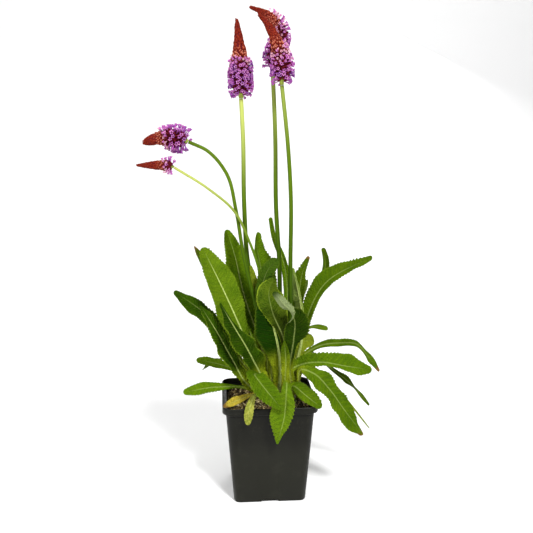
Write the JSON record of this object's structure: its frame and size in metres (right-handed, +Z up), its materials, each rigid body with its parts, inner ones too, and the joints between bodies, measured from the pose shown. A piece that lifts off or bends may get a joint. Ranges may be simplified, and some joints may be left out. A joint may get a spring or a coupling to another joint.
{
  "type": "potted orchid primrose",
  "caption": "Orchid primrose with toothed green leaves, tall stems and red and violet flower spikes, in a square black nursery pot.",
  "frame": {"origin": "middle of the underside of the pot, on the surface the pot stands on", "axes": "+Z up, -Y towards the pot's front side, +X to the right seen from the front; the pot's sides are square to X and Y"},
  "size_m": [0.2335, 0.1466, 0.4633],
  "materials": {
    "leaf_green": "satin",
    "leaf_light": "satin",
    "leaf_dark": "satin",
    "leaf_pale": "satin",
    "leaf_yellow": "satin",
    "stem_green": "satin",
    "stem_light": "satin",
    "bud_red": "matte",
    "floret_violet": "matte",
    "pot_black": "satin",
    "compost": "matte",
    "crown_green": "satin"
  },
  "bodies": {
    "root": {"pot": "pot_black", "soil": "compost", "crown": "crown_green", "leaf_left_broad": "leaf_light", "leaf_left_hidden": "leaf_dark", "leaf_left_upright": "leaf_green", "leaf_left_inner": "leaf_light", "leaf_back_upright": "leaf_green", "leaf_grey_curl": "leaf_pale", "leaf_centre_folded": "leaf_light", "leaf_centre_dark": "leaf_dark", "leaf_edge_on": "leaf_green", "leaf_back_pointed": "leaf_dark", "leaf_right_pale_rib": "leaf_pale", "leaf_back_curl": "leaf_pale", "leaf_right_arching": "leaf_green", "leaf_back_bluish": "leaf_pale", "leaf_right_small": "leaf_light", "leaf_right_round": "leaf_light", "leaf_right_ruffled": "leaf_light", "leaf_right_broad": "leaf_green", "leaf_right_twisted": "leaf_dark", "leaf_right_hanging": "leaf_green", "leaf_right_thin": "leaf_light", "leaf_front_right_small": "leaf_light", "leaf_front_hanging": "leaf_light", "leaf_front_kinked": "leaf_green", "leaf_left_diagonal_outer": "leaf_green", "leaf_left_diagonal_inner": "leaf_dark", "leaf_left_dark": "leaf_dark", "leaf_left_small": "leaf_light", "leaf_left_low": "leaf_light", "leaf_yellow": "leaf_yellow", "leaf_front_left_small": "leaf_light", "leaf_centre_white_rib": "leaf_dark", "leaf_centre_narrow": "leaf_green", "leaf_rear_left_low": "leaf_green", "leaf_rear_left": "leaf_light", "leaf_rear_low": "leaf_dark", "leaf_rear_middle": "leaf_green", "leaf_rear_right": "leaf_light", "leaf_rear_right_low": "leaf_green", "stem_left": "stem_green", "buds_left": "bud_red", "florets_left": "floret_violet", "stem_middle": "stem_green", "buds_middle": "bud_red", "florets_middle": "floret_violet", "stem_right": "stem_green", "buds_right": "bud_red", "florets_right": "floret_violet", "stem_nodding": "stem_green", "buds_nodding": "bud_red", "florets_nodding": "floret_violet", "stem_pale_nodding": "stem_light", "buds_pale_nodding": "bud_red", "florets_pale_nodding": "floret_violet"}
  },
  "joints": []
}
